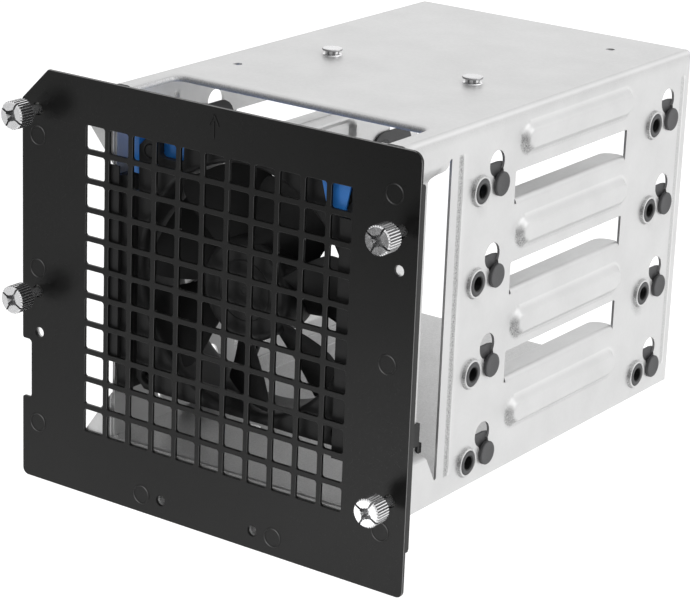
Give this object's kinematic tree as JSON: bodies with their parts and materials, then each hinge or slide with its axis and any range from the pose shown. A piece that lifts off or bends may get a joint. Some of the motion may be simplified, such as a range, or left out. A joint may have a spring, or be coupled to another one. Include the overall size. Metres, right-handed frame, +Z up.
{
  "type": "drive cage",
  "caption": "Open-ended sheet steel cage that holds disk drives on rubber isolators behind a vented front plate with captive thumbscrews and a lift-out cooling fan.",
  "frame": {"origin": "midway between the two lower fixing holes of the front plate, on the back face of the front frame, which is the face that meets the chassis", "axes": "+Y runs from the front plate to the open rear, +Z is up, and +X is to the right as seen from the front"},
  "size_m": [0.147, 0.1759, 0.1362],
  "materials": {
    "galvanised": "bright galvanised sheet, faintly mottled",
    "black_paint": "black semi-gloss powder coat, fine texture",
    "plated_steel": "nickel plated, satin",
    "dark_rubber": "matt moulded rubber",
    "black_plastic": "matt moulded plastic",
    "blue_plastic": "semi-gloss moulded plastic",
    "nylon": "matt natural nylon",
    "sintered_bronze": "matt oiled bronze",
    "motor_copper": "coated laminations and copper wire",
    "circuit_board": "satin solder resist"
  },
  "bodies": {
    "cage": {"top_panel": "galvanised", "left_wall": "galvanised", "right_wall": "galvanised", "shelves": "galvanised", "bottom_panel": "galvanised", "front_plate": "black_paint", "front_frame": "galvanised", "frame_rivets": "plated_steel", "top_studs": "plated_steel", "isolator_pads_left": "dark_rubber", "isolator_pads_right": "dark_rubber", "isolator_bushings_left": "dark_rubber", "isolator_bushings_right": "dark_rubber", "isolator_buttons_left": "dark_rubber", "isolator_buttons_right": "dark_rubber", "fan_bracket": "black_plastic"},
    "fan_module": {"fan_frame": "black_plastic", "fan_handle": "blue_plastic", "fan_pins": "black_plastic", "fan_bearing": "sintered_bronze", "fan_stator": "motor_copper", "fan_board": "circuit_board"},
    "rotor": {"fan_rotor": "black_plastic", "fan_shaft": "plated_steel"},
    "captive_upper_left": {"retaining_ring_upper_left": "nylon"},
    "screw_upper_left": {"thumbscrew_upper_left": "plated_steel"},
    "captive_lower_left": {"retaining_ring_lower_left": "nylon"},
    "screw_lower_left": {"thumbscrew_lower_left": "plated_steel"},
    "captive_upper_right": {"retaining_ring_upper_right": "nylon"},
    "screw_upper_right": {"thumbscrew_upper_right": "plated_steel"},
    "captive_lower_right": {"retaining_ring_lower_right": "nylon"},
    "screw_lower_right": {"thumbscrew_lower_right": "plated_steel"}
  },
  "joints": [
    {"name": "fan_lift", "type": "slide", "parent": "cage", "child": "fan_module", "axis": [0, 0, 1], "range_m": [0, 0.1]},
    {"name": "rotor_spin", "type": "hinge", "parent": "fan_module", "child": "rotor", "pos_m": [0.0096, 0.01, 0.0735], "axis": [0, 1, 0], "continuous": true},
    {"name": "push_upper_left", "type": "slide", "parent": "cage", "child": "captive_upper_left", "axis": [0, 1, 0], "range_m": [0, 0.005]},
    {"name": "turn_upper_left", "type": "hinge", "parent": "captive_upper_left", "child": "screw_upper_left", "pos_m": [-0.0682, 0, 0.1152], "axis": [0, 1, 0], "continuous": true},
    {"name": "push_lower_left", "type": "slide", "parent": "cage", "child": "captive_lower_left", "axis": [0, 1, 0], "range_m": [0, 0.005]},
    {"name": "turn_lower_left", "type": "hinge", "parent": "captive_lower_left", "child": "screw_lower_left", "pos_m": [-0.0682, 0, 0.0567], "axis": [0, 1, 0], "continuous": true},
    {"name": "push_upper_right", "type": "slide", "parent": "cage", "child": "captive_upper_right", "axis": [0, 1, 0], "range_m": [0, 0.005]},
    {"name": "turn_upper_right", "type": "hinge", "parent": "captive_upper_right", "child": "screw_upper_right", "pos_m": [0.0668, 0, 0.1044], "axis": [0, 1, 0], "continuous": true},
    {"name": "push_lower_right", "type": "slide", "parent": "cage", "child": "captive_lower_right", "axis": [0, 1, 0], "range_m": [0, 0.005]},
    {"name": "turn_lower_right", "type": "hinge", "parent": "captive_lower_right", "child": "screw_lower_right", "pos_m": [0.0668, 0, 0.0233], "axis": [0, 1, 0], "continuous": true}
  ]
}
